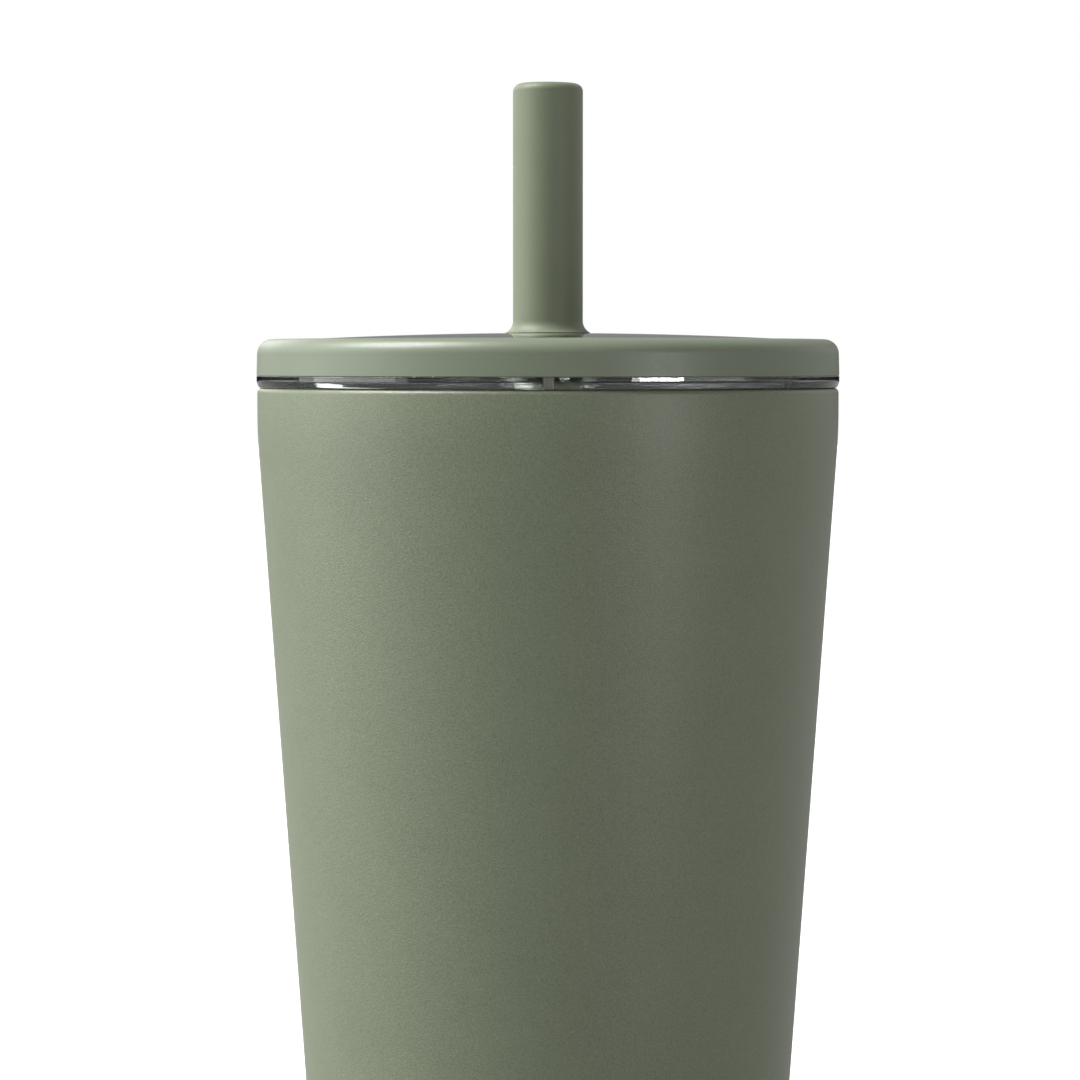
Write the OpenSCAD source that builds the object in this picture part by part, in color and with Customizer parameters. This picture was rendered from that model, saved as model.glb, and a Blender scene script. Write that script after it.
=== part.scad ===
// Vacuum-insulated steel tumbler with a push-on straw lid.
// Millimetres, +Z up. The origin is on the axis, at the level of the table.
// Every piece is turned about the axis, so most modules revolve one outline
// of [radius, height] points.

/* [Vessel] */
// Height of the steel rim above the table
vessel_h = 170; // [140:1:220]
// Outside diameter of the steel rim
rim_d = 87.8; // [70:0.1:106]
// Lean of the tapered side, in degrees
taper = 4.07; // [2:0.01:5]
// Height of the upright band under the rim
band_h = 4; // [2:0.5:8]
// Radius that blends the upright band into the taper
side_blend_r = 76; // [40:1:120]
// Rounding of the outer rim edge
rim_edge_r = 0.75; // [0.3:0.05:0.8]
// Radius of the corner between the side and the foot
foot_corner_r = 3.2; // [2:0.1:5]

/* [Steel walls] */
// Thickness of the outer shell
shell_wall = 0.8; // [0.5:0.05:1.2]
// Thickness of the inner liner
liner_wall = 0.6; // [0.4:0.05:1]
// Thickness of the welded base
base_wall = 0.8; // [0.5:0.05:1.2]
// Evacuated gap between shell and liner
vacuum_gap = 2.9; // [2:0.1:5]
// Evacuated gap beside the lid seat
seat_gap = 0.5; // [0.3:0.1:1.5]
// Height of the liner's lip where it is welded to the shell
lip_h = 1.5; // [1:0.1:3]
// Depth of the straight bore that the lid seals in
seat_depth = 11; // [8:0.5:16]
// Height of the shoulder below the lid seat
shoulder_h = 4.5; // [3:0.5:8]
// Height of the liner's floor above the table
floor_z = 13.5; // [12:0.5:25]
// Inside radius at the edge of the liner's floor
floor_corner_r = 12; // [5:1:18]

/* [Base] */
// How far the rubber foot stands below the steel
foot_proud = 0.6; // [0.3:0.1:1.5]
// Radius of the base's rim where it meets the shell
base_rim_r = 1.6; // [1:0.1:2]
// Depth of the recess under the base
recess_depth = 2.8; // [2:0.1:4]
// Width of the rubber foot ring
foot_ring_w = 7; // [4:0.5:10]
// Clearance around the rubber foot ring
foot_ring_gap = 0.15; // [0.05:0.05:0.5]
// Depth of the two grooves in the foot ring
foot_groove = 0.5; // [0.2:0.1:1]
// Thickness of the polished cover disc
cover_t = 0.6; // [0.4:0.1:1]
// Radius of the dimple around the evacuation port
dimple_r = 6; // [4:0.5:8]
// Rise of the dimple
dimple_h = 1.6; // [1:0.1:2]
// Radius of the evacuation port
port_r = 1; // [0.6:0.1:1.5]
// Thickness of the copper foil
foil_t = 0.15; // [0.1:0.05:0.4]
// Gap between the copper foil and the liner
foil_gap = 0.1; // [0.05:0.05:0.5]
// Radius of the getter pill
getter_r = 4.4; // [3:0.1:5]
// Thickness of the getter pill
getter_t = 1.5; // [1:0.1:2.5]
// Wall of the getter holder
getter_wall = 0.4; // [0.3:0.1:0.6]

/* [Lid] */
// Overhang of the lid beyond the steel rim
lid_overhang = 0.1; // [0:0.05:0.5]
// Height of the clear flange that rests on the rim
flange_h = 1.75; // [1:0.05:3]
// Rounding of the flange's lower edge
flange_edge_r = 0.6; // [0.2:0.05:0.9]
// Height of the coloured ring, up to its outer edge
ring_h = 5.55; // [4:0.05:9]
// Draft of the ring's side, over its height
ring_draft = 0.14; // [0:0.01:0.4]
// Rounding of the ring's upper edge
ring_edge_r = 2.2; // [0.5:0.1:2.4]
// Wall of the ring's side
ring_wall = 1.8; // [1.2:0.1:2.5]
// Thickness of the ring's top
ring_top_t = 1.8; // [1.2:0.1:2.5]
// Width of the ring's top, from its edge to the clear crown
ring_band = 7.4; // [5:0.1:12]
// Rise of the clear crown above the ring's top
crown_rise = 0.95; // [0.5:0.05:3]
// Thickness of the clear crown
crown_t = 2.2; // [1.5:0.1:3]
// Clearance between the ring and the clear lid body
ring_fit = 0.05; // [0.02:0.01:0.2]
// Depth of the lid's plug below the rim
plug_depth = 9; // [7:0.5:10]
// Wall of the plug's skirt
plug_wall = 2.6; // [2.2:0.1:3.5]
// Clearance between the plug and the lid seat
plug_gap = 0.5; // [0.3:0.1:1]
// Width of the gasket groove
groove_w = 4; // [3:0.1:5]
// Depth of the gasket groove
groove_depth = 1.2; // [0.8:0.1:1.5]
// Depth of the gasket groove's upper side below the rim
groove_drop = 2.6; // [2:0.1:4]
// Running clearance between the gasket's fins and the seat
gasket_fit = 0.05; // [0.02:0.01:0.1]
// Wall of the collar around the straw hole
collar_wall = 1.8; // [1.2:0.1:3]
// Depth of the collar below the rim
collar_drop = 1; // [0:0.5:5]
// Radius of the air vent
vent_r = 0.75; // [0.5:0.05:1.5]
// Distance of the air vent from the axis
vent_x = 19; // [12:0.5:24]
// Width of the moulding gate's mark on the flange
gate_w = 1.7; // [1:0.1:3]
// Depth of the moulding gate's mark
gate_cut = 0.15; // [0.05:0.05:0.3]

/* [Straw] */
// Outside diameter of the clear straw
straw_d = 8; // [6:0.1:12]
// Wall of the clear straw
straw_wall = 0.9; // [0.5:0.1:1.5]
// Gap between the straw's end and the liner's floor
straw_end_gap = 4; // [2:0.5:10]
// Wall of the silicone tip around the straw
tip_wall = 1.24; // [0.8:0.02:2]
// Running clearance between the straw and the tip
tip_fit = 0.04; // [0.02:0.01:0.1]
// Height of the silicone tip above the lid
tip_h = 37.55; // [25:0.05:60]
// Length of straw held in the tip above the lid
tip_grip = 26; // [12:1:40]
// Rounding of the tip's mouth edge
tip_edge_r = 1.2; // [0.4:0.1:1.2]
// Flare of the tip where it rests on the lid
flare_w = 1.07; // [0.5:0.01:2]
// Radius of the flare's sweep
flare_r = 2; // [1.5:0.1:4]
// Length of the tip's neck below the lid's crown
neck_l = 11; // [8:0.5:16]
// Clearance between the tip's neck and the lid's hole
neck_gap = 0.3; // [0.1:0.05:0.5]
// Gap between the flare and the crown
flare_gap = 0.02; // [0.01:0.01:0.1]

/* [Hidden] */

sage = [0.42, 0.47, 0.39];
clear = [0.8, 0.85, 0.85, 0.35];
steel = [0.72, 0.72, 0.74];

rim_r = rim_d / 2;

// Points of an arc about a centre, from one angle to another
function arc(centre, r, from, to, n = 6) =
    [for (i = [0:n]) let (a = from + (to - from) * i / n) centre + r * [cos(a), sin(a)]];

// The same points in the other order
function flip(points) = [for (i = [len(points) - 1:-1:0]) points[i]];

// Side of the vessel, moved inwards by an inset: an upright band, a blend and a straight taper
band_z = vessel_h - band_h;
function side_blend(inset) =
    arc([rim_r - side_blend_r, band_z], side_blend_r - inset, 0, -taper, 5);
function taper_r(z, inset) =
    rim_r - side_blend_r + (side_blend_r - inset) / cos(taper) + (z - band_z) * tan(taper);
function side_r(z, inset) = let (
        drop = band_z - z,
        reach = side_blend_r - inset
    ) drop <= 0 ? rim_r - inset
    : drop < reach * sin(taper) ? rim_r - side_blend_r + sqrt(reach * reach - drop * drop)
    : taper_r(z, inset);

// Foot: the corner under the side, the seam in the middle of the foot and the recess inside it
corner_z = foot_proud + foot_corner_r;
corner_x = taper_r(corner_z, foot_corner_r);
recess_r = corner_x - base_rim_r;
web_z = foot_proud + recess_depth;
ring_in_r = recess_r - foot_ring_gap - foot_ring_w;
cover_r = ring_in_r - foot_ring_gap;
pad_r = dimple_r - dimple_h;

// Liner: the bore that the lid seals in, the shoulder and the wall below it
seat_z = vessel_h - seat_depth;
liner_out = shell_wall + vacuum_gap;
liner_in = liner_out + liner_wall;
seat_r = side_r(seat_z, shell_wall) - seat_gap - liner_wall;
shoulder_z = seat_z - shoulder_h;
floor_corner_z = floor_z + floor_corner_r;
floor_corner_x = taper_r(floor_corner_z, liner_in + floor_corner_r);
// S-shaped step from the seat to the wall below it, on the bore side or the vacuum side
function shoulder(thick) = [for (i = [0:8]) let (
        share = (1 - cos(180 * i / 8)) / 2,
        low_r = side_r(shoulder_z, liner_in)
    ) [seat_r + (low_r - seat_r) * share + thick, seat_z - shoulder_h * i / 8]];

// Getter on the base, between the dimple and the base's edge
getter_x = (dimple_r + recess_r) / 2;
getter_z = web_z + base_wall;

// Lid: a flat ring around a clear body with a shallow crown
flange_r = rim_r + lid_overhang;
ring_z = vessel_h + flange_h;
ring_top_z = ring_z + ring_h;
ring_edge_x = flange_r - ring_draft - ring_edge_r;
opening_r = flange_r - ring_band;
crown_r = (opening_r * opening_r + crown_rise * crown_rise) / (2 * crown_rise);
crown_z = ring_top_z + crown_rise;
function crown_at(r) = crown_z - crown_r + sqrt(crown_r * crown_r - r * r);
function crown_path(from, to, drop = 0, n = 8) =
    [for (i = [0:n]) let (r = from + (to - from) * i / n) [r, crown_at(r) - drop]];
ring_seat_r = flange_r - ring_wall - ring_draft;
plug_r = seat_r - plug_gap;
skirt_r = plug_r - plug_wall;
groove_z = vessel_h - groove_drop;
groove_r = plug_r - groove_depth;

// Straw and its silicone tip
straw_r = straw_d / 2;
tip_bore_r = straw_r + tip_fit;
tip_r = straw_r + tip_fit + tip_wall;
tip_z = crown_z + flare_gap;
tip_top_z = tip_z + tip_h;
straw_top_z = tip_z + tip_grip;
hole_r = tip_r + neck_gap;
flare_out_r = tip_r + flare_w;
flare_h = sqrt(flare_r * flare_r - (flare_r - flare_w) * (flare_r - flare_w));
flare_lip = 0.2;

module lathe(points) {
    rotate_extrude($fn = 180) polygon(points);
}

// Powder-coated outer wall, open at the rim and at the seam under the foot
module outer_shell() {
    corner = [corner_x, corner_z];
    color(sage) lathe(concat(
        arc([rim_r - rim_edge_r, vessel_h - rim_edge_r], rim_edge_r, 90, 0),
        side_blend(0),
        arc(corner, foot_corner_r, -taper, -90, 8),
        flip(arc(corner, foot_corner_r - shell_wall, -taper, -90, 8)),
        flip(side_blend(shell_wall)),
        [[rim_r - shell_wall, vessel_h]]
    ));
}

// Drawn steel cup that holds the drink
module inner_liner() {
    corner = [floor_corner_x, floor_corner_z];
    lip_r = rim_r - shell_wall;
    lip_edge = liner_wall / 2;
    color(steel) lathe(concat(
        [[lip_r, vessel_h]],
        arc([lip_r - liner_wall + lip_edge, vessel_h - lip_edge], lip_edge, 90, 180),
        [[lip_r - liner_wall, vessel_h - lip_h], [seat_r, vessel_h - 2 * lip_h]],
        shoulder(0),
        arc(corner, floor_corner_r, -taper, -90, 8),
        [[0, floor_z], [0, floor_z - liner_wall]],
        flip(arc(corner, floor_corner_r + liner_wall, -taper, -90, 8)),
        flip(shoulder(liner_wall)),
        [[seat_r + liner_wall, vessel_h - 2 * lip_h], [lip_r, vessel_h - lip_h]]
    ));
}

// Shallow dish welded to the shell under the foot, with a dimple around the evacuation port
module outer_base() {
    rim = [corner_x, foot_proud + base_rim_r];
    web_top = web_z + base_wall;
    color(steel) lathe(concat(
        flip(arc(rim, base_rim_r, -180, -90)),
        [[recess_r, web_z], [dimple_r, web_z]],
        [[pad_r, web_z + dimple_h], [port_r, web_z + dimple_h]],
        [[port_r, web_top + dimple_h], [pad_r, web_top + dimple_h], [dimple_r, web_top]],
        arc([recess_r, web_z], base_wall, 90, 0),
        arc(rim, base_rim_r - base_wall, -180, -90)
    ));
}

// Foil wrapped around the liner to reflect heat back
module copper_foil() {
    inset = liner_out - foil_gap;
    top_z = shoulder_z - 2;
    low_z = floor_corner_z;
    color([0.72, 0.43, 0.28]) lathe([
        [taper_r(top_z, inset), top_z],
        [taper_r(top_z, inset - foil_t), top_z],
        [taper_r(low_z, inset - foil_t), low_z],
        [taper_r(low_z, inset), low_z]
    ]);
}

// Steel dish spot-welded inside the base
module getter_holder() {
    color(steel) translate([getter_x, 0, getter_z]) lathe([
        [0, 0],
        [getter_r + getter_wall, 0],
        [getter_r + getter_wall, getter_wall + getter_t + 0.4],
        [getter_r, getter_wall + getter_t + 0.4],
        [getter_r, getter_wall],
        [0, getter_wall]
    ]);
}

// Pill that soaks up the last gas in the gap
module getter_pill() {
    color([0.3, 0.3, 0.32]) translate([getter_x, 0, getter_z + getter_wall])
        cylinder(h = getter_t, r = getter_r - 0.1, $fn = 60);
}

// Glass solder that closes the evacuation port
module port_seal() {
    color([0.25, 0.25, 0.28]) lathe([
        [0, web_z + dimple_h + base_wall],
        [port_r, web_z + dimple_h + base_wall],
        [port_r, web_z + dimple_h],
        [pad_r * 0.6, web_z + dimple_h],
        [pad_r * 0.4, web_z + dimple_h - 0.7],
        [0, web_z + dimple_h - 0.9]
    ]);
}

// Polished disc glued over the port
module base_cover() {
    edge = cover_t / 2;
    color(steel) lathe(concat(
        [[0, web_z - cover_t]],
        arc([cover_r - edge, web_z - cover_t + edge], edge, -90, 0),
        [[cover_r, web_z], [0, web_z]]
    ));
}

// Rubber ring that the tumbler stands on
module foot_ring() {
    out_r = recess_r - foot_ring_gap;
    edge = 0.5;
    land = foot_ring_w / 5;
    groove = [[0, 0], [0, foot_groove], [land, foot_groove], [land, 0]];
    color([0.2, 0.22, 0.2]) lathe(concat(
        [[ring_in_r, web_z]],
        arc([ring_in_r + edge, edge], edge, -180, -90),
        [for (i = [1, 3], p = groove) [ring_in_r + land * i + p[0], p[1]]],
        arc([out_r - edge, edge], edge, -90, 0),
        [[out_r, web_z]]
    ));
}

// Clear moulding: plug, flange, crown and the collar around the straw hole
module lid_body() {
    crown_under = crown_at(skirt_r) - crown_t;
    collar_r = hole_r + collar_wall;
    ring_under_z = ring_top_z - ring_top_t - ring_fit;
    color(clear) difference() {
        lathe(concat(
            arc([flange_r - flange_edge_r, vessel_h + flange_edge_r], flange_edge_r, -90, 0),
            [[flange_r, ring_z], [ring_seat_r - ring_fit, ring_z]],
            [[ring_seat_r - ring_fit, ring_under_z], [opening_r - ring_fit, ring_under_z]],
            crown_path(opening_r - ring_fit, hole_r),
            [[hole_r, vessel_h - collar_drop], [collar_r, vessel_h - collar_drop]],
            crown_path(collar_r, skirt_r - 1, crown_t),
            [[skirt_r, crown_under - 1], [skirt_r, vessel_h - plug_depth]],
            arc([plug_r - 0.8, vessel_h - plug_depth + 0.8], 0.8, -90, 0),
            [[plug_r, groove_z - groove_w], [groove_r, groove_z - groove_w]],
            [[groove_r, groove_z], [plug_r, groove_z], [plug_r, vessel_h]]
        ));
        translate([vent_x, 0, crown_at(vent_x) - crown_t - 1])
            cylinder(h = crown_t + 2, r = vent_r, $fn = 32);
        translate([-gate_w / 2, -flange_r - 1, vessel_h - 1])
            cube([gate_w, 1 + gate_cut, flange_h + 1]);
    }
}

// Coloured cover pressed over the clear body
module lid_ring() {
    edge = 0.2;
    color(sage) lathe(concat(
        [[ring_seat_r, ring_z]],
        arc([flange_r - edge, ring_z + edge], edge, -90, 0, 3),
        arc([ring_edge_x, ring_top_z - ring_edge_r], ring_edge_r, 0, 90),
        [[opening_r, ring_top_z]],
        [[opening_r, ring_top_z - ring_top_t], [ring_seat_r, ring_top_z - ring_top_t]]
    ));
}

// Silicone seal with two fins that wipe the liner
module lid_gasket() {
    fin_r = seat_r - gasket_fit;
    web_r = plug_r - 0.3;
    top = groove_z - 0.1;
    low = groove_z - groove_w + 0.1;
    fin = (top - low) / 6;
    color([0.85, 0.87, 0.85, 0.8]) lathe([
        [groove_r, low],
        [web_r, low],
        [web_r, low + fin],
        [fin_r, low + 2 * fin],
        [fin_r, low + 2.5 * fin],
        [web_r, low + 3 * fin],
        [web_r, low + 3.5 * fin],
        [fin_r, low + 4.5 * fin],
        [fin_r, low + 5 * fin],
        [web_r, low + 5.5 * fin],
        [web_r, top],
        [groove_r, top]
    ]);
}

// Clear drinking straw
module straw_tube() {
    low_z = floor_z + straw_end_gap;
    color(clear) difference() {
        translate([0, 0, low_z])
            cylinder(h = straw_top_z - low_z, r = straw_r, $fn = 72);
        translate([0, 0, low_z - 1])
            cylinder(h = straw_top_z - low_z + 2, r = straw_r - straw_wall, $fn = 72);
    }
}

// Silicone mouthpiece: neck through the lid, flare that rests on it and tube
module straw_tip() {
    mouth_r = straw_r - straw_wall;
    mouth_edge = 0.5;
    neck_z = tip_z - neck_l;
    sweep_top = tip_z + flare_lip + flare_h;
    sweep_end = -180 + asin(flare_h / flare_r);
    color(sage) lathe(concat(
        [[tip_bore_r, neck_z], [tip_r - 0.5, neck_z], [tip_r, neck_z + 0.8], [tip_r, tip_z]],
        [[flare_out_r - 0.1, tip_z], [flare_out_r, tip_z + 0.1]],
        flip(arc([tip_r + flare_r, sweep_top], flare_r, -180, sweep_end, 8)),
        arc([tip_r - tip_edge_r, tip_top_z - tip_edge_r], tip_edge_r, 0, 90),
        arc([mouth_r + mouth_edge, tip_top_z - mouth_edge], mouth_edge, 90, 180, 4),
        [[mouth_r, straw_top_z], [tip_bore_r, straw_top_z]]
    ));
}

outer_shell();
inner_liner();
outer_base();
copper_foil();
getter_holder();
getter_pill();
port_seal();
base_cover();
foot_ring();
lid_body();
lid_ring();
lid_gasket();
straw_tube();
straw_tip();
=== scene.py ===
import math
import bpy
from mathutils import Matrix, Vector


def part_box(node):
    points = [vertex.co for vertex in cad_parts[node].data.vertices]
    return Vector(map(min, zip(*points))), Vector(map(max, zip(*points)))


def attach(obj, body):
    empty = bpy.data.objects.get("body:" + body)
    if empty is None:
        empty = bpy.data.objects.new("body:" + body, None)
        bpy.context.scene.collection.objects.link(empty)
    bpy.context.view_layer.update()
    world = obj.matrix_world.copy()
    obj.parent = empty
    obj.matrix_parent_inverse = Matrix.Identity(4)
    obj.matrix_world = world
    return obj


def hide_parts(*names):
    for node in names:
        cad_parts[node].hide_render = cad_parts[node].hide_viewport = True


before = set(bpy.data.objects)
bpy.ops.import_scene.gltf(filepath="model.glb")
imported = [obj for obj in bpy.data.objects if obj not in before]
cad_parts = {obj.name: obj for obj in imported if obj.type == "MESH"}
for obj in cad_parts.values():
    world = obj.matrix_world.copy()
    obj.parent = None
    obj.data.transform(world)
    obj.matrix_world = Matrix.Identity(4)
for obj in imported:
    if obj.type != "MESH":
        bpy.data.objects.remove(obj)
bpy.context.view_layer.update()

mm = 0.001  # outlines are written in millimetres, objects are in metres
creaseAngle = math.radians(32)  # edges that turn more than this stay sharp in the shading
overTheAxis = 0
bottom, top = 0, 1


def levelOf(node, end):  # height of a CAD node's bottom or top, in millimetres
    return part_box(node)[end].z / mm


# The sizes that several pieces share, in millimetres
tumbler = {
    "rimRadius": 43.9,
    "taper": math.radians(4.07),
    "bendBelowRim": 6.7,  # where the upright band and the tapered side would meet
    "shellWall": 0.8,
    "linerWall": 0.6,
    "vacuumGap": 2.9,
    "seatRadius": 41.64,
    "flangeRadius": 44.0,
    "ringBand": 7.4,
    "ringWall": 1.8,
    "ringDraft": 0.14,
    "ringEdge": 2.2,
    "strawRadius": 4.0,
    "strawWall": 0.9,
    "tipGap": 0.02,
}
rimZ = levelOf("outer_shell", top)
footZ = levelOf("outer_shell", bottom)
ringZ = levelOf("lid_ring", bottom)
tipZ = levelOf("lid_body", top) + tumbler["tipGap"]  # the tip's flare rests just over the lid
bendZ = rimZ - tumbler["bendBelowRim"]


def sideRadius(z, inset):  # radius of the tapered side at a height, moved inwards by an inset
    return (
        tumbler["rimRadius"]
        - (bendZ - z) * math.tan(tumbler["taper"])
        - inset / math.cos(tumbler["taper"])
    )


def roundedOutline(corners, hold=0.06, turnStep=7):
    # corners are (radius, height, rounding) round a closed outline; a rounding becomes an arc that
    # touches both sides, and hold is the length of flat kept beside it so that shading stays crisp
    outline = []
    count = len(corners)
    for i, (x, z, rounding) in enumerate(corners):
        here = Vector((x, z))
        if rounding <= 0:
            outline.append(here)
            continue
        before = Vector(corners[i - 1][:2]) - here
        after = Vector(corners[(i + 1) % count][:2]) - here
        room = min(before.length, after.length)
        before.normalize()
        after.normalize()
        opening = before.angle(after)
        reach = min(rounding / math.tan(opening / 2), room * 0.98)
        radius = reach * math.tan(opening / 2)
        centre = here + (before + after).normalized() * radius / math.sin(opening / 2)
        turn = math.pi - opening
        steps = max(3, round(math.degrees(turn) / turnStep))
        start = here + before * reach - centre
        side = math.copysign(turn, start.x * after.y - start.y * after.x)
        if reach + hold < room * 0.5:
            outline.append(here + before * (reach + hold))
        for k in range(steps + 1):
            outline.append(centre + Matrix.Rotation(side * k / steps, 2) @ start)
        if reach + hold < room * 0.5:
            outline.append(here + after * (reach + hold))
    return outline


def addNode(tree, kind, inputs=None, **settings):
    node = tree.nodes.new(kind)
    for name, value in settings.items():
        setattr(node, name, value)
    for name, value in (inputs or {}).items():
        if isinstance(value, bpy.types.NodeSocket):
            tree.links.new(value, node.inputs[name])
        else:
            node.inputs[name].default_value = value
    return node


def turningTree():
    # Turns an outline, given as a chain of points in the XZ plane, about the Z axis
    tree = bpy.data.node_groups.new("turnedOnTheAxis", "GeometryNodeTree")
    tree.interface.new_socket("Outline", in_out="INPUT", socket_type="NodeSocketGeometry")
    steps = tree.interface.new_socket("Steps", in_out="INPUT", socket_type="NodeSocketInt")
    steps.default_value, steps.min_value = 192, 24
    tree.interface.new_socket("Finish", in_out="INPUT", socket_type="NodeSocketMaterial")
    tree.interface.new_socket("Piece", in_out="OUTPUT", socket_type="NodeSocketGeometry")
    given = addNode(tree, "NodeGroupInput")
    points = addNode(tree, "GeometryNodeAttributeDomainSize", {"Geometry": given.outputs["Outline"]})
    rounds = addNode(tree, "ShaderNodeMath", {0: given.outputs["Steps"], 1: 1.0}, operation="ADD")
    grid = addNode(tree, "GeometryNodeMeshGrid", {
        "Vertices X": points.outputs["Point Count"],
        "Vertices Y": rounds.outputs[0],
    })
    index = addNode(tree, "GeometryNodeInputIndex")
    split = {0: index.outputs[0], 1: rounds.outputs[0]}
    along = addNode(tree, "ShaderNodeMath", split, operation="DIVIDE")
    along = addNode(tree, "ShaderNodeMath", {0: along.outputs[0]}, operation="FLOOR")
    around = addNode(tree, "ShaderNodeMath", split, operation="MODULO")
    share = addNode(tree, "ShaderNodeMath", {
        0: around.outputs[0], 1: given.outputs["Steps"],
    }, operation="DIVIDE")
    angle = addNode(tree, "ShaderNodeMath", {0: share.outputs[0], 1: math.tau}, operation="MULTIPLY")
    place = addNode(tree, "GeometryNodeInputPosition")
    picked = addNode(tree, "GeometryNodeSampleIndex", {
        "Geometry": given.outputs["Outline"],
        "Value": place.outputs[0],
        "Index": along.outputs[0],
    }, data_type="FLOAT_VECTOR")
    turned = addNode(tree, "ShaderNodeVectorRotate", {
        "Vector": picked.outputs[0],
        "Angle": angle.outputs[0],
    }, rotation_type="Z_AXIS")
    moved = addNode(tree, "GeometryNodeSetPosition", {
        "Geometry": grid.outputs["Mesh"],
        "Position": turned.outputs[0],
    })
    closed = addNode(tree, "GeometryNodeMergeByDistance", {
        "Geometry": moved.outputs[0],
        "Distance": 0.002 * mm,
    })
    real = addNode(tree, "GeometryNodeRealizeInstances", {"Geometry": closed.outputs[0]})
    finished = addNode(tree, "GeometryNodeSetMaterial", {
        "Geometry": real.outputs[0],
        "Material": given.outputs["Finish"],
    })
    addNode(tree, "NodeGroupOutput", {"Piece": finished.outputs[0]})
    return tree


turning = turningTree()
socketOf = {s.name: s.identifier for s in turning.interface.items_tree if s.in_out == "INPUT"}


def plainMesh(piece):  # bakes the modifiers into the mesh and takes them off
    graph = bpy.context.evaluated_depsgraph_get()
    done = bpy.data.meshes.new_from_object(piece.evaluated_get(graph))
    piece.modifiers.clear()
    piece.data = done


def turnedPiece(name, corners, finish, steps, cutters=()):
    outline = roundedOutline(corners)
    outline.append(outline[0])
    chain = bpy.data.meshes.new(name)
    chain.from_pydata(
        [(p.x * mm, 0, p.y * mm) for p in outline],
        [(i, i + 1) for i in range(len(outline) - 1)],
        [],
    )
    piece = bpy.data.objects.new(name, chain)
    bpy.context.scene.collection.objects.link(piece)
    turn = piece.modifiers.new("turn", "NODES")
    turn.node_group = turning
    turn[socketOf["Steps"]] = steps
    turn[socketOf["Finish"]] = finish
    plainMesh(piece)
    if signedVolume(piece.data) < 0:
        piece.data.flip_normals()
    for cutter in cutters:
        cutter.data.materials.append(finish)
        cut = piece.modifiers.new("cut", "BOOLEAN")
        cut.object = cutter
        cut.solver = "EXACT"
        plainMesh(piece)
        bpy.data.objects.remove(cutter)
    piece.data.shade_smooth()
    piece.data.set_sharp_from_angle(angle=creaseAngle)
    return piece


def signedVolume(mesh):
    mesh.calc_loop_triangles()
    total = 0.0
    for tri in mesh.loop_triangles:
        a, b, c = (mesh.vertices[i].co for i in tri.vertices)
        total += a.dot(b.cross(c)) / 6
    return total


def fitted(piece, node, body):
    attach(piece, body)
    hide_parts(node)


def hexColour(code):  # sRGB hex to a linear colour
    def linear(part):
        part /= 255
        return part / 12.92 if part <= 0.04045 else ((part + 0.055) / 1.055) ** 2.4
    return tuple(linear(int(code[i:i + 2], 16)) for i in (1, 3, 5)) + (1.0,)


def newFinish(name, inputs):
    finish = bpy.data.materials.new(name)
    finish.use_nodes = True
    tree = finish.node_tree
    tree.nodes.clear()
    shader = addNode(tree, "ShaderNodeBsdfPrincipled", inputs)
    addNode(tree, "ShaderNodeOutputMaterial", {"Surface": shader.outputs[0]})
    coords = addNode(tree, "ShaderNodeTexCoord")
    return finish, tree, shader, coords.outputs["Object"]


def perMetre(sizeInMm):  # noise scale that gives features of about this size
    return 1 / (sizeInMm * mm)


sage = {
    "coat": ("#7E866F", "#656D59"),
    "ring": ("#798370", "#747D6A"),
    "tip": ("#767E67", "#707862"),
}


def powderCoat():
    # Polyester powder baked on steel: satin, with a fine pebbled grain that sparkles in highlights
    look = {
        "grain": 0.22, "orangePeel": 1.4, "tone": 9.0, "grainShare": 1.6, "toneShare": 0.15,
        "contrast": 0.35, "grainDepth": 0.045, "peelDepth": 0.04,
    }
    finish, tree, shader, place = newFinish("sagePowderCoat", {"IOR": 1.5})
    grain = addNode(tree, "ShaderNodeTexNoise", {
        "Vector": place, "Scale": perMetre(look["grain"]), "Detail": 2.0, "Roughness": 0.6,
    })
    peel = addNode(tree, "ShaderNodeTexNoise", {
        "Vector": place, "Scale": perMetre(look["orangePeel"]), "Detail": 1.0,
    })
    tone = addNode(tree, "ShaderNodeTexNoise", {
        "Vector": place, "Scale": perMetre(look["tone"]), "Detail": 3.0,
    })
    faint = addNode(tree, "ShaderNodeMath", {
        0: tone.outputs[0], 1: look["toneShare"],
    }, operation="MULTIPLY")
    speckle = addNode(tree, "ShaderNodeMath", {
        0: grain.outputs[0], 1: look["grainShare"], 2: faint.outputs[0],
    }, operation="MULTIPLY_ADD")
    middle = (look["grainShare"] + look["toneShare"]) / 2
    spread = addNode(tree, "ShaderNodeMapRange", {
        0: speckle.outputs[0],
        "From Min": middle - look["contrast"],
        "From Max": middle + look["contrast"],
    })
    colour = addNode(tree, "ShaderNodeMix", {
        0: spread.outputs[0], 6: hexColour(sage["coat"][1]), 7: hexColour(sage["coat"][0]),
    }, data_type="RGBA")
    gloss = addNode(tree, "ShaderNodeMapRange", {
        0: grain.outputs[0], "From Min": 0.3, "From Max": 0.7, "To Min": 0.3, "To Max": 0.42,
    })
    soft = addNode(tree, "ShaderNodeBump", {
        "Height": peel.outputs[0], "Strength": 0.2, "Distance": look["peelDepth"] * mm,
    })
    fine = addNode(tree, "ShaderNodeBump", {
        "Height": grain.outputs[0], "Strength": 1.0, "Distance": look["grainDepth"] * mm,
        "Normal": soft.outputs[0],
    })
    tree.links.new(colour.outputs[2], shader.inputs["Base Color"])
    tree.links.new(gloss.outputs[0], shader.inputs["Roughness"])
    tree.links.new(fine.outputs[0], shader.inputs["Normal"])
    return finish


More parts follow.
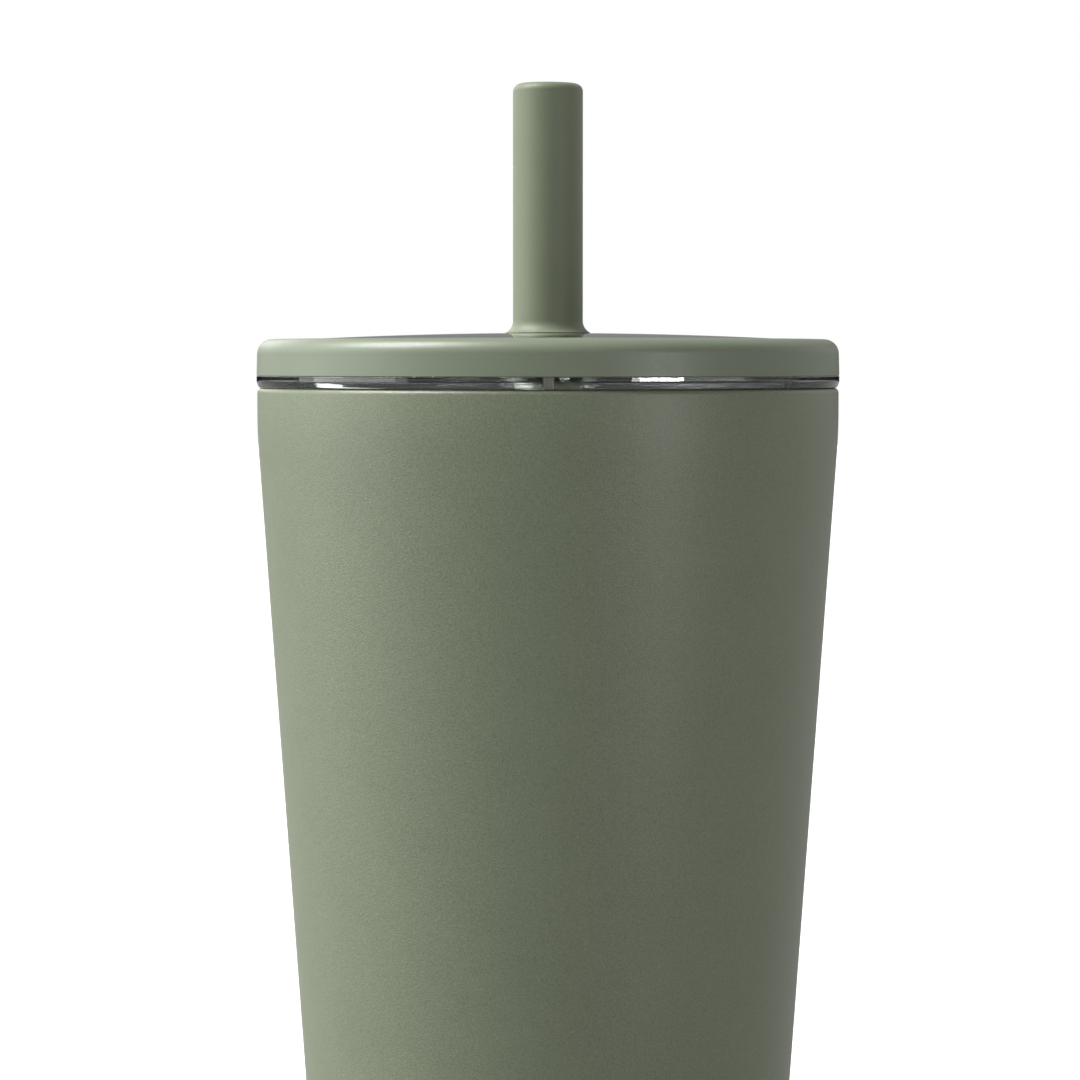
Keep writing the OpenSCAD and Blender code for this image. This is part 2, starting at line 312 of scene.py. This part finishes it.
def mouldedRing():
    # Injection-moulded polypropylene from a spark-eroded tool: satin, with a very fine even texture
    look = {"spark": 0.3, "tone": 9.0, "depth": 0.02}
    finish, tree, shader, place = newFinish("satinSagePolypropylene", {"IOR": 1.49, "Roughness": 0.4})
    spark = addNode(tree, "ShaderNodeTexNoise", {
        "Vector": place, "Scale": perMetre(look["spark"]), "Detail": 1.0,
    })
    tone = addNode(tree, "ShaderNodeTexNoise", {
        "Vector": place, "Scale": perMetre(look["tone"]), "Detail": 3.0,
    })
    colour = addNode(tree, "ShaderNodeMix", {
        0: tone.outputs[0], 6: hexColour(sage["ring"][0]), 7: hexColour(sage["ring"][1]),
    }, data_type="RGBA")
    gloss = addNode(tree, "ShaderNodeMapRange", {
        0: spark.outputs[0], "From Min": 0.3, "From Max": 0.7, "To Min": 0.34, "To Max": 0.44,
    })
    bump = addNode(tree, "ShaderNodeBump", {
        "Height": spark.outputs[0], "Strength": 0.25, "Distance": look["depth"] * mm,
    })
    tree.links.new(colour.outputs[2], shader.inputs["Base Color"])
    tree.links.new(gloss.outputs[0], shader.inputs["Roughness"])
    tree.links.new(bump.outputs[0], shader.inputs["Normal"])
    return finish


def siliconeTip():
    # Compression-moulded silicone rubber: soft and matt, with a faint bloom at grazing angles
    look = {"skin": 0.35, "tone": 5.0, "depth": 0.03}
    finish, tree, shader, place = newFinish("sageSilicone", {
        "IOR": 1.43, "Roughness": 0.5, "Sheen Weight": 0.12, "Sheen Roughness": 0.4,
    })
    skin = addNode(tree, "ShaderNodeTexNoise", {
        "Vector": place, "Scale": perMetre(look["skin"]), "Detail": 2.0,
    })
    tone = addNode(tree, "ShaderNodeTexNoise", {
        "Vector": place, "Scale": perMetre(look["tone"]), "Detail": 3.0,
    })
    colour = addNode(tree, "ShaderNodeMix", {
        0: tone.outputs[0], 6: hexColour(sage["tip"][0]), 7: hexColour(sage["tip"][1]),
    }, data_type="RGBA")
    gloss = addNode(tree, "ShaderNodeMapRange", {
        0: skin.outputs[0], "From Min": 0.3, "From Max": 0.7, "To Min": 0.44, "To Max": 0.56,
    })
    bump = addNode(tree, "ShaderNodeBump", {
        "Height": skin.outputs[0], "Strength": 0.2, "Distance": look["depth"] * mm,
    })
    tree.links.new(colour.outputs[2], shader.inputs["Base Color"])
    tree.links.new(gloss.outputs[0], shader.inputs["Roughness"])
    tree.links.new(bump.outputs[0], shader.inputs["Normal"])
    return finish


def clearCopolyester(name, streak, frostedWidth=0.0):
    # Polished clear copolyester: bright and see-through, with faint wipe marks
    look = {
        "tint": "#F4F7F5", "wipe": 7.0, "scar": 0.35, "scarDepth": 0.15, "scarTint": "#7C7B70",
        "scarClear": 0.35, "frostedFrom": 42, "frostedSoft": (0.34, 0.44),
    }
    finish, tree, shader, place = newFinish(name, {
        "Base Color": hexColour(look["tint"]), "IOR": 1.54, "Transmission Weight": 1.0,
    })
    stretched = addNode(tree, "ShaderNodeMapping", {"Vector": place, "Scale": streak})
    wipe = addNode(tree, "ShaderNodeTexNoise", {
        "Vector": stretched.outputs[0], "Scale": perMetre(look["wipe"]), "Detail": 5.0, "Roughness": 0.6,
    })
    gloss = addNode(tree, "ShaderNodeMapRange", {
        0: wipe.outputs[0], "From Min": 0.45, "From Max": 0.75, "To Min": 0.02, "To Max": 0.08,
    })
    tree.links.new(gloss.outputs[0], shader.inputs["Roughness"])
    if frostedWidth:
        # where the gate was trimmed at the front, the plastic is torn and frosted
        near, far = (frostedWidth * share * mm for share in look["frostedSoft"])
        parts = addNode(tree, "ShaderNodeSeparateXYZ", {0: place})
        aside = addNode(tree, "ShaderNodeMath", {0: parts.outputs["X"]}, operation="ABSOLUTE")
        narrow = addNode(tree, "ShaderNodeMapRange", {
            0: aside.outputs[0], "From Min": near, "From Max": far, "To Min": 1.0, "To Max": 0.0,
        })
        front = addNode(tree, "ShaderNodeMath", {
            0: parts.outputs["Y"], 1: -look["frostedFrom"] * mm,
        }, operation="LESS_THAN")
        torn = addNode(tree, "ShaderNodeMath", {
            0: narrow.outputs[0], 1: front.outputs[0],
        }, operation="MULTIPLY")
        scar = addNode(tree, "ShaderNodeTexNoise", {
            "Vector": place, "Scale": perMetre(look["scar"]), "Detail": 3.0,
        })
        frost = addNode(tree, "ShaderNodeMapRange", {
            0: scar.outputs[0], "From Min": 0.3, "From Max": 0.7, "To Min": 0.35, "To Max": 0.75,
        })
        rough = addNode(tree, "ShaderNodeMix", {
            0: torn.outputs[0], 2: gloss.outputs[0], 3: frost.outputs[0],
        })
        cloud = addNode(tree, "ShaderNodeMapRange", {
            0: torn.outputs[0], "To Min": 1.0, "To Max": look["scarClear"],
        })
        ridge = addNode(tree, "ShaderNodeBump", {
            "Height": scar.outputs[0], "Strength": torn.outputs[0], "Distance": look["scarDepth"] * mm,
        })
        tint = addNode(tree, "ShaderNodeMix", {
            0: torn.outputs[0], 6: hexColour(look["tint"]), 7: hexColour(look["scarTint"]),
        }, data_type="RGBA")
        tree.links.new(tint.outputs[2], shader.inputs["Base Color"])
        tree.links.new(rough.outputs[0], shader.inputs["Roughness"])
        tree.links.new(cloud.outputs[0], shader.inputs["Transmission Weight"])
        tree.links.new(ridge.outputs[0], shader.inputs["Normal"])
    return finish


def steelFinish(name, colours, roughness, streak, depth):
    # Austenitic stainless steel: a bright metal whose fine lines follow the way it was worked
    look = {"line": 0.3, "cloud": 12}
    finish, tree, shader, place = newFinish(name, {"Metallic": 1.0})
    stretched = addNode(tree, "ShaderNodeMapping", {"Vector": place, "Scale": streak})
    lines = addNode(tree, "ShaderNodeTexNoise", {
        "Vector": stretched.outputs[0], "Scale": perMetre(look["line"]), "Detail": 3.0, "Roughness": 0.65,
    })
    cloud = addNode(tree, "ShaderNodeTexNoise", {
        "Vector": place, "Scale": perMetre(look["cloud"]), "Detail": 4.0,
    })
    colour = addNode(tree, "ShaderNodeMix", {
        0: cloud.outputs[0], 6: hexColour(colours[0]), 7: hexColour(colours[1]),
    }, data_type="RGBA")
    gloss = addNode(tree, "ShaderNodeMapRange", {
        0: lines.outputs[0], "From Min": 0.3, "From Max": 0.7,
        "To Min": roughness[0], "To Max": roughness[1],
    })
    bump = addNode(tree, "ShaderNodeBump", {
        "Height": lines.outputs[0], "Strength": 0.3, "Distance": depth * mm,
    })
    tree.links.new(colour.outputs[2], shader.inputs["Base Color"])
    tree.links.new(gloss.outputs[0], shader.inputs["Roughness"])
    tree.links.new(bump.outputs[0], shader.inputs["Normal"])
    return finish


def mattSilicone(name, colours, clear=0.0):
    # Moulded silicone: matt, slightly dusty, soft edges
    look = {"skin": 0.5, "dust": 5, "depth": 0.03}
    finish, tree, shader, place = newFinish(name, {"IOR": 1.43, "Transmission Weight": clear})
    skin = addNode(tree, "ShaderNodeTexNoise", {
        "Vector": place, "Scale": perMetre(look["skin"]), "Detail": 3.0,
    })
    dust = addNode(tree, "ShaderNodeTexNoise", {
        "Vector": place, "Scale": perMetre(look["dust"]), "Detail": 5.0,
    })
    colour = addNode(tree, "ShaderNodeMix", {
        0: dust.outputs[0], 6: hexColour(colours[0]), 7: hexColour(colours[1]),
    }, data_type="RGBA")
    gloss = addNode(tree, "ShaderNodeMapRange", {
        0: dust.outputs[0], "From Min": 0.3, "From Max": 0.7, "To Min": 0.45, "To Max": 0.62,
    })
    bump = addNode(tree, "ShaderNodeBump", {
        "Height": skin.outputs[0], "Strength": 0.3, "Distance": look["depth"] * mm,
    })
    tree.links.new(colour.outputs[2], shader.inputs["Base Color"])
    tree.links.new(gloss.outputs[0], shader.inputs["Roughness"])
    tree.links.new(bump.outputs[0], shader.inputs["Normal"])
    return finish


coatFinish = powderCoat()
ringFinish = mouldedRing()
tipFinish = siliconeTip()
gateWidth = 1.7  # the trimmed gate on the lid's flange
lidClear = clearCopolyester("clearCopolyesterLid", (1, 1, 1), gateWidth)
strawClear = clearCopolyester("clearCopolyesterStraw", (1, 1, 0.05))  # drawn along its length
linerSteel = steelFinish(
    "brushedLinerSteel", ("#CFCFCF", "#C2C3C5"), (0.2, 0.36), (0.02, 0.02, 1), 0.01,
)
baseSteel = steelFinish("pressedBaseSteel", ("#C6C7C9", "#B4B5B8"), (0.28, 0.42), (0.3, 0.3, 0.3), 0.01)
coverSteel = steelFinish("polishedCoverSteel", ("#D2D3D4", "#C8C9CB"), (0.1, 0.2), (1, 0.03, 1), 0.006)
footSilicone = mattSilicone("greyFootSilicone", ("#5C6156", "#52574D"))
sealSilicone = mattSilicone("frostedSealSilicone", ("#E6E8E2", "#DADCD6"), clear=0.4)
print("finishes mixed")


shell = {"rimRounding": 0.75, "bendRounding": 76, "cornerRounding": 3.2, "steps": 256}
cornerX = sideRadius(footZ + shell["cornerRounding"], shell["cornerRounding"])


def shellSide(inset):  # corners of the side from the rim down to the foot, moved inwards
    lift = inset * math.tan(tumbler["taper"] / 2)
    low = footZ + inset
    return [
        (tumbler["rimRadius"] - inset, bendZ + lift, shell["bendRounding"] - inset),
        (sideRadius(low, inset), low, shell["cornerRounding"] - inset),
        (cornerX, low, 0),
    ]


steelBody = turnedPiece(
    "steel_body",
    [(tumbler["rimRadius"], rimZ, shell["rimRounding"])]
    + shellSide(0)
    + shellSide(tumbler["shellWall"])[::-1]
    + [(tumbler["rimRadius"] - tumbler["shellWall"], rimZ, 0)],
    coatFinish,
    shell["steps"],
)
fitted(steelBody, "outer_shell", "vessel")

liner = {
    "lip": 1.5, "lipRounding": 0.28, "lipEdge": 0.1, "neckRounding": 1, "seatDepth": 11,
    "shoulder": 4.5, "shoulderRounding": 3.4, "floor": 13.5, "floorRounding": 12, "steps": 224,
}


def linerSide(wall):  # bore side at wall 0, vacuum side at the liner's thickness
    gap = tumbler["shellWall"] + tumbler["vacuumGap"] + tumbler["linerWall"] - wall
    seatZ = rimZ - liner["seatDepth"]
    shoulderZ = seatZ - liner["shoulder"]
    low = liner["floor"] - wall
    return [
        (tumbler["seatRadius"] + wall, rimZ - 2 * liner["lip"], liner["neckRounding"]),
        (tumbler["seatRadius"] + wall, seatZ, liner["shoulderRounding"]),
        (sideRadius(shoulderZ, gap), shoulderZ, liner["shoulderRounding"]),
        (sideRadius(low, gap), low, liner["floorRounding"] + wall),
        (overTheAxis, low, 0),
    ]


lipRadius = tumbler["rimRadius"] - tumbler["shellWall"]
steelLiner = turnedPiece(
    "steel_liner",
    [
        (lipRadius, rimZ, liner["lipEdge"]),
        (lipRadius - tumbler["linerWall"], rimZ, liner["lipRounding"]),
        (lipRadius - tumbler["linerWall"], rimZ - liner["lip"], liner["neckRounding"]),
    ]
    + linerSide(0)
    + linerSide(tumbler["linerWall"])[::-1]
    + [(lipRadius, rimZ - liner["lip"], 0)],
    linerSteel,
    liner["steps"],
)
fitted(steelLiner, "inner_liner", "vessel")

foot = {
    "rimRounding": 1.6, "recess": 2.8, "wall": 0.8, "dimpleRadius": 6, "dimpleHeight": 1.6,
    "portRadius": 1, "gap": 0.15, "ringWidth": 7, "groove": 0.5, "coverThickness": 0.6,
    "recessEdge": 0.3, "dimpleEdge": 0.8, "dimpleTip": 0.6, "ringEdge": 0.5, "grooveEdge": 0.2,
    "coverEdge": 0.25, "steps": 160,
}
recessR = cornerX - foot["rimRounding"]
webZ = footZ + foot["recess"]
padR = foot["dimpleRadius"] - foot["dimpleHeight"]
dishTop = webZ + foot["wall"]
steelDish = turnedPiece("base_dish", [
    (cornerX, footZ, 0),
    (recessR, footZ, foot["rimRounding"]),
    (recessR, webZ, foot["recessEdge"]),
    (foot["dimpleRadius"], webZ, foot["dimpleEdge"]),
    (padR, webZ + foot["dimpleHeight"], foot["dimpleTip"]),
    (foot["portRadius"], webZ + foot["dimpleHeight"], 0),
    (foot["portRadius"], dishTop + foot["dimpleHeight"], 0),
    (padR, dishTop + foot["dimpleHeight"], foot["dimpleTip"]),
    (foot["dimpleRadius"], dishTop, foot["dimpleEdge"]),
    (recessR + foot["wall"], dishTop, foot["wall"]),
    (recessR + foot["wall"], footZ + foot["wall"], foot["rimRounding"] - foot["wall"]),
    (cornerX, footZ + foot["wall"], 0),
], baseSteel, foot["steps"])
fitted(steelDish, "outer_base", "vessel")

ringOut = recessR - foot["gap"]
ringIn = ringOut - foot["ringWidth"]
land = foot["ringWidth"] / 5  # three lands and two grooves share the width
grooves = [
    (ringIn + land * (k + across), height, foot["grooveEdge"])
    for k in (1, 3)
    for across, height in ((0, 0), (0, foot["groove"]), (1, foot["groove"]), (1, 0))
]
footRing = turnedPiece(
    "foot_ring_silicone",
    [(ringIn, webZ, 0), (ringIn, 0, foot["ringEdge"])]
    + grooves
    + [(ringOut, 0, foot["ringEdge"]), (ringOut, webZ, 0)],
    footSilicone,
    foot["steps"],
)
fitted(footRing, "foot_ring", "vessel")

coverR = ringIn - foot["gap"]
coverDisc = turnedPiece("cover_disc", [
    (overTheAxis, webZ - foot["coverThickness"], 0),
    (coverR, webZ - foot["coverThickness"], foot["coverEdge"]),
    (coverR, webZ, 0),
    (overTheAxis, webZ, 0),
], coverSteel, foot["steps"])
fitted(coverDisc, "base_cover", "vessel")
print("vessel turned")


ring = {
    "height": 5.55, "topWall": 1.8, "fit": 0.05, "lowerEdge": 0.07, "innerEdge": 0.1,
    "openingEdge": 0.2, "steps": 256,
}
ringTopZ = ringZ + ring["height"]
crown = {"rise": 0.95, "thickness": 2.2, "chords": 10}
openingR = tumbler["flangeRadius"] - tumbler["ringBand"]
crownR = (openingR ** 2 + crown["rise"] ** 2) / (2 * crown["rise"])
ringSeatR = tumbler["flangeRadius"] - tumbler["ringWall"] - tumbler["ringDraft"]


def crownAt(radius):
    return ringTopZ + crown["rise"] - crownR + math.sqrt(crownR ** 2 - radius ** 2)


def crownPath(start, end, drop, firstRounding, lastRounding):
    # the shallow dome between two radii, moved down by a drop
    path = []
    for k in range(crown["chords"] + 1):
        radius = start + (end - start) * k / crown["chords"]
        edge = firstRounding if k == 0 else lastRounding if k == crown["chords"] else 0
        path.append((radius, crownAt(radius) - drop, edge))
    return path


sageRing = turnedPiece("sage_lid_ring", [
    (ringSeatR, ringZ, ring["innerEdge"]),
    (tumbler["flangeRadius"], ringZ, ring["lowerEdge"]),
    (tumbler["flangeRadius"] - tumbler["ringDraft"], ringTopZ, tumbler["ringEdge"]),
    (openingR, ringTopZ, ring["openingEdge"]),
    (openingR, ringTopZ - ring["topWall"], ring["innerEdge"]),
    (ringSeatR, ringTopZ - ring["topWall"], ring["openingEdge"]),
], ringFinish, ring["steps"])
fitted(sageRing, "lid_ring", "lid")

flange = {"slant": 0.36, "face": 0.85, "bend": 1.4, "underEdge": 0.4, "topEdge": 0.03}
plug = {
    "depth": 9, "wall": 2.6, "gap": 0.5, "grooveDrop": 2.6, "grooveWidth": 4, "grooveDepth": 1.2,
    "hole": 5.58, "collarWall": 1.8, "collarDrop": 1, "holeEdge": 0.2, "collarEdge": 0.3,
    "collarFillet": 0.8, "skirtFillet": 1, "innerEdge": 0.6, "outerEdge": 0.8, "grooveEdge": 0.15,
    "rootFillet": 0.2, "steps": 256,
}
vent = {"x": 19, "radius": 0.75, "reachDown": 4, "reachUp": 2}
gate = {"width": gateWidth, "depth": 0.15, "reach": 1}
plugR = tumbler["seatRadius"] - plug["gap"]
skirtR = plugR - plug["wall"]
plugZ = rimZ - plug["depth"]
collarR = plug["hole"] + plug["collarWall"]
collarZ = rimZ - plug["collarDrop"]
grooveR = plugR - plug["grooveDepth"]
grooveTop = rimZ - plug["grooveDrop"]
grooveLow = grooveTop - plug["grooveWidth"]
ringUnderZ = ringTopZ - ring["topWall"] - ring["fit"]


def cutterBlock(name, low, high):
    corners = [(x, y, z) for x in (low[0], high[0])
               for y in (low[1], high[1]) for z in (low[2], high[2])]
    faces = [(0, 1, 3, 2), (4, 6, 7, 5), (0, 4, 5, 1), (2, 3, 7, 6), (0, 2, 6, 4), (1, 5, 7, 3)]
    block = bpy.data.meshes.new(name)
    block.from_pydata([Vector(c) * mm for c in corners], [], faces)
    cutter = bpy.data.objects.new(name, block)
    bpy.context.scene.collection.objects.link(cutter)
    return cutter


def cutterRod(name, x, radius, low, high, sides=32):
    rim = [(x + radius * math.cos(math.tau * k / sides), radius * math.sin(math.tau * k / sides))
           for k in range(sides)]
    rod = bpy.data.meshes.new(name)
    rod.from_pydata(
        [Vector((px, py, z)) * mm for z in (low, high) for px, py in rim],
        [],
        [tuple(range(sides))[::-1], tuple(range(sides, 2 * sides))]
        + [(k, (k + 1) % sides, sides + (k + 1) % sides, sides + k) for k in range(sides)],
    )
    cutter = bpy.data.objects.new(name, rod)
    bpy.context.scene.collection.objects.link(cutter)
    return cutter


clearLid = turnedPiece(
    "clear_lid_body",
    [
        (tumbler["flangeRadius"] - flange["slant"], rimZ, flange["underEdge"]),
        (tumbler["flangeRadius"], ringZ - flange["face"], flange["bend"]),
        (tumbler["flangeRadius"], ringZ, flange["topEdge"]),
        (ringSeatR - ring["fit"], ringZ, ring["innerEdge"]),
        (ringSeatR - ring["fit"], ringUnderZ, ring["openingEdge"]),
        (openingR - ring["fit"], ringUnderZ, ring["innerEdge"]),
    ]
    + crownPath(openingR - ring["fit"], plug["hole"], 0, ring["openingEdge"], plug["holeEdge"])
    + [(plug["hole"], collarZ, plug["collarEdge"]), (collarR, collarZ, plug["collarEdge"])]
    + crownPath(collarR, skirtR, crown["thickness"], plug["collarFillet"], plug["skirtFillet"])
    + [
        (skirtR, plugZ, plug["innerEdge"]),
        (plugR, plugZ, plug["outerEdge"]),
        (plugR, grooveLow, plug["grooveEdge"]),
        (grooveR, grooveLow, plug["grooveEdge"]),
        (grooveR, grooveTop, plug["grooveEdge"]),
        (plugR, grooveTop, plug["grooveEdge"]),
        (plugR, rimZ, plug["rootFillet"]),
    ],
    lidClear,
    plug["steps"],
    cutters=[
        cutterRod(
            "ventDrill", vent["x"], vent["radius"],
            crownAt(vent["x"]) - vent["reachDown"], crownAt(0) + vent["reachUp"],
        ),
        cutterBlock(
            "gateTrim",
            (-gate["width"] / 2, -tumbler["flangeRadius"] - gate["reach"], rimZ - gate["reach"]),
            (gate["width"] / 2, -tumbler["flangeRadius"] + gate["depth"], ringZ),
        ),
    ],
)
fitted(clearLid, "lid_body", "lid")

gasket = {
    "fit": 0.05, "web": 0.3, "play": 0.1, "rootEdge": 0.2, "finEdge": 0.15, "endEdge": 0.1,
    "steps": 192,
}
finR = tumbler["seatRadius"] - gasket["fit"]
webR = plugR - gasket["web"]
sealTop = grooveTop - gasket["play"]
sealLow = grooveLow + gasket["play"]
finStep = (sealTop - sealLow) / 6  # two fins that slope up to the liner
sealRing = turnedPiece("seal_ring", [
    (grooveR, sealLow, gasket["rootEdge"]),
    (webR, sealLow, gasket["finEdge"]),
    (webR, sealLow + finStep, gasket["finEdge"]),
    (finR, sealLow + 2 * finStep, gasket["finEdge"]),
    (finR, sealLow + 2.5 * finStep, gasket["finEdge"]),
    (webR, sealLow + 3 * finStep, gasket["finEdge"]),
    (webR, sealLow + 3.5 * finStep, gasket["finEdge"]),
    (finR, sealLow + 4.5 * finStep, gasket["finEdge"]),
    (finR, sealLow + 5 * finStep, gasket["finEdge"]),
    (webR, sealLow + 5.5 * finStep, gasket["endEdge"]),
    (webR, sealTop, gasket["endEdge"]),
    (grooveR, sealTop, gasket["rootEdge"]),
], sealSilicone, gasket["steps"])
fitted(sealRing, "lid_gasket", "lid")
print("lid turned")


straw = {"steps": 96, "endRounding": 0.35}
bore = tumbler["strawRadius"] - tumbler["strawWall"]
strawLow = levelOf("straw_tube", bottom)
strawTop = levelOf("straw_tube", top)
clearStraw = turnedPiece("clear_straw", [
    (bore, strawLow, straw["endRounding"]),
    (tumbler["strawRadius"], strawLow, straw["endRounding"]),
    (tumbler["strawRadius"], strawTop, straw["endRounding"]),
    (bore, strawTop, straw["endRounding"]),
], strawClear, straw["steps"])
fitted(clearStraw, "straw_tube", "straw")

tip = {
    "fit": 0.04, "wall": 1.24, "edge": 1.2, "mouthEdge": 0.5, "flare": 1.07, "flareSweep": 2,
    "flareHeight": 0.6, "flareLip": 0.1, "boreEdge": 0.2, "neckEdge": 0.6, "underFillet": 0.05,
    "lipUnder": 0.03, "lipOver": 0.05, "strawSeatEdge": 0.1,
}
tipBore = tumbler["strawRadius"] + tip["fit"]
tipR = tipBore + tip["wall"]
flareR = tipR + tip["flare"]
neckZ = levelOf("straw_tip", bottom)
tipTopZ = levelOf("straw_tip", top)
mouthpiece = turnedPiece("silicone_tip", [
    (tipBore, neckZ, tip["boreEdge"]),
    (tipR, neckZ, tip["neckEdge"]),
    (tipR, tipZ, tip["underFillet"]),
    (flareR, tipZ, tip["lipUnder"]),
    (flareR, tipZ + tip["flareLip"], tip["lipOver"]),
    (tipR, tipZ + tip["flareLip"] + tip["flareHeight"], tip["flareSweep"]),
    (tipR, tipTopZ, tip["edge"]),
    (bore, tipTopZ, tip["mouthEdge"]),
    (bore, strawTop, tip["strawSeatEdge"]),
    (tipBore, strawTop, tip["strawSeatEdge"]),
], tipFinish, straw["steps"])
fitted(mouthpiece, "straw_tip", "mouthpiece")
print("straw turned")


hiddenFinishes = {
    "copper_foil": steelFinish("copperFoil", ("#C9825C", "#B8704C"), (0.18, 0.34), (1, 1, 0.4), 0.02),
    "getter_holder": steelFinish(
        "getterHolderSteel", ("#A8A9AC", "#97989B"), (0.3, 0.45), (1, 1, 1), 0.01,
    ),
    "getter_pill": mattSilicone("sinteredZirconium", ("#55565A", "#47484C")),
    "port_seal": mattSilicone("solderGlass", ("#3A3B42", "#2E2F36")),
}
for node, finish in hiddenFinishes.items():  # these pieces keep their CAD shape
    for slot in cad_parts[node].material_slots:
        slot.material = finish


studio = {
    "fill": 0.27, "leftPanel": 0.7, "rightPanel": 0.45, "underHorizon": 0.05, "throughClear": 0.27,
    "panelEdge": (0.3, 0.6), "behind": (0.1, 0.4), "horizonHeight": 0.02,
    "keyPower": 8.6, "keySize": (1.2, 1.2), "keyPlace": (-1.2, -0.08, 0.35), "keyAim": (0, 0, 0.14),
    "silkStrength": 5.2, "silkAngle": 34, "silkTilt": (-0.6, -0.05, 0.8),
    "kickPower": 0.95, "kickSize": (0.25, 0.036), "kickPlace": (0.55, -0.585, 0.164),
    "rimPower": 1.1, "rimSize": (0.45, 0.3), "rimPlace": (-0.42, 0.95, 0.52),
    "lidAim": (0, 0, 0.17),
    "floorSize": 14, "floorAlbedo": 0.23, "floorSeen": 0.9, "floorRoughness": 0.7,
}


def softbox(name, place, aim, size, power):
    lamp = bpy.data.lights.new(name, "AREA")
    lamp.shape = "RECTANGLE"
    lamp.size, lamp.size_y = size
    lamp.energy = power
    box = bpy.data.objects.new(name, lamp)
    bpy.context.scene.collection.objects.link(box)
    box.location = place
    box.rotation_euler = (Vector(aim) - Vector(place)).to_track_quat("-Z", "Y").to_euler()


softbox("keySoftbox", studio["keyPlace"], studio["keyAim"], studio["keySize"], studio["keyPower"])
softbox("kickStrip", studio["kickPlace"], studio["lidAim"], studio["kickSize"], studio["kickPower"])
softbox("rearSoftbox", studio["rimPlace"], studio["lidAim"], studio["rimSize"], studio["rimPower"])

overhead = bpy.data.lights.new("overheadSilk", "SUN")
overhead.energy = studio["silkStrength"]
overhead.angle = math.radians(studio["silkAngle"])
silk = bpy.data.objects.new("overheadSilk", overhead)
bpy.context.scene.collection.objects.link(silk)
silk.rotation_euler = Vector(studio["silkTilt"]).to_track_quat("Z", "Y").to_euler()

# A dim room with bright panels behind on both sides; the camera itself sees plain white
world = bpy.data.worlds.new("paleStudio")
bpy.context.scene.world = world
world.use_nodes = True
air = world.node_tree
air.nodes.clear()
facing = addNode(air, "ShaderNodeTexCoord")
parts = addNode(air, "ShaderNodeSeparateXYZ", {0: facing.outputs["Generated"]})
panelFrom, panelFull = studio["panelEdge"]
onTheLeft = addNode(air, "ShaderNodeMapRange", {
    0: parts.outputs["X"], "From Min": -panelFrom, "From Max": -panelFull, "To Max": studio["leftPanel"],
}, interpolation_type="SMOOTHSTEP")
onTheRight = addNode(air, "ShaderNodeMapRange", {
    0: parts.outputs["X"], "From Min": panelFrom, "From Max": panelFull, "To Max": studio["rightPanel"],
}, interpolation_type="SMOOTHSTEP")
both = addNode(air, "ShaderNodeMath", {
    0: onTheLeft.outputs[0], 1: onTheRight.outputs[0],
}, operation="ADD")
behind = addNode(air, "ShaderNodeMapRange", {
    0: parts.outputs["Y"], "From Min": studio["behind"][0], "From Max": studio["behind"][1],
}, interpolation_type="SMOOTHSTEP")
panels = addNode(air, "ShaderNodeMath", {
    0: both.outputs[0], 1: behind.outputs[0], 2: studio["fill"],
}, operation="MULTIPLY_ADD")
above = addNode(air, "ShaderNodeMapRange", {
    0: parts.outputs["Z"], "From Min": 0.0, "From Max": studio["horizonHeight"],
    "To Min": studio["underHorizon"], "To Max": 1.0,
})
glow = addNode(air, "ShaderNodeMath", {0: panels.outputs[0], 1: above.outputs[0]}, operation="MULTIPLY")
seen = addNode(air, "ShaderNodeLightPath")
dimmed = addNode(air, "ShaderNodeMapRange", {  # the room looks darker through the clear plastic
    0: seen.outputs["Is Transmission Ray"], "To Min": 1.0, "To Max": studio["throughClear"],
})
room = addNode(air, "ShaderNodeMath", {0: glow.outputs[0], 1: dimmed.outputs[0]}, operation="MULTIPLY")
level = addNode(air, "ShaderNodeMix", {0: seen.outputs["Is Camera Ray"], 2: room.outputs[0], 3: 1.0})
backdrop = addNode(air, "ShaderNodeBackground", {"Color": (1, 1, 1, 1), "Strength": level.outputs[0]})
addNode(air, "ShaderNodeOutputWorld", {"Surface": backdrop.outputs[0]})

half = studio["floorSize"] / 2
floorMesh = bpy.data.meshes.new("studioFloor")
floorCorners = [(-half, -half, 0), (half, -half, 0), (half, half, 0), (-half, half, 0)]
floorMesh.from_pydata(floorCorners, [], [(0, 1, 2, 3)])
# Pale to the camera, darker to the light it bounces, so that little light comes from below
paleFloor, floorTree, floorShader = newFinish(
    "palePaintedFloor", {"Roughness": studio["floorRoughness"]},
)[:3]
eye = addNode(floorTree, "ShaderNodeLightPath")
bounce = addNode(floorTree, "ShaderNodeMapRange", {
    0: eye.outputs["Is Camera Ray"], "To Min": studio["floorAlbedo"], "To Max": studio["floorSeen"],
})
floorTree.links.new(bounce.outputs[0], floorShader.inputs["Base Color"])
floorMesh.materials.append(paleFloor)
floor = bpy.data.objects.new("studioFloor", floorMesh)
bpy.context.scene.collection.objects.link(floor)

view = {"distance": 0.5476, "height": 0.174, "side": -0.0012, "down": 2.834, "lens": 120.38}
camera = bpy.data.cameras.new("camera")
camera.lens = view["lens"]
cameraStand = bpy.data.objects.new("camera", camera)
bpy.context.scene.collection.objects.link(cameraStand)
cameraStand.matrix_world = (
    Matrix.Translation((view["side"], -view["distance"], view["height"]))
    @ Matrix.Rotation(math.radians(90 - view["down"]), 4, "X")
)
bpy.context.scene.camera = cameraStand
bpy.context.scene.view_settings.view_transform = "Standard"
print("studio lit")
